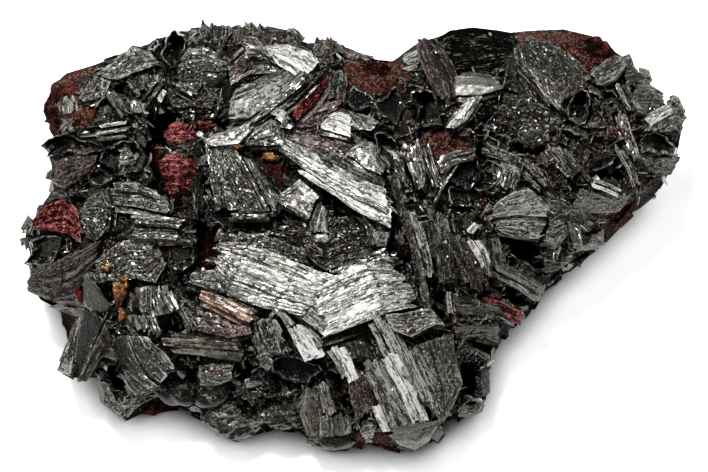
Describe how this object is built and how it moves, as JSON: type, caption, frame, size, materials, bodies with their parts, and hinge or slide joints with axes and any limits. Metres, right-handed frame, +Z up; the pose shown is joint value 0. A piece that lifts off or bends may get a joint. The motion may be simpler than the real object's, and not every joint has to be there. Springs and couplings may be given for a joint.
{
  "type": "goethite pseudomorph specimen",
  "caption": "Mineral specimen: a dark crust of flat, hollow and splintered crystals over a lump of brown ironstone, lying on its flat foot.",
  "frame": {"origin": "on the table, under the middle of the specimen's box", "axes": "+X along the longest side, +Y away from the display face's lower edge, +Z up"},
  "size_m": [0.1199, 0.0784, 0.0396],
  "materials": {
    "goethite": "satin",
    "ironstone": "matte"
  },
  "bodies": {
    "root": {"goethite_crystals": "goethite", "matrix": "ironstone"}
  },
  "joints": []
}
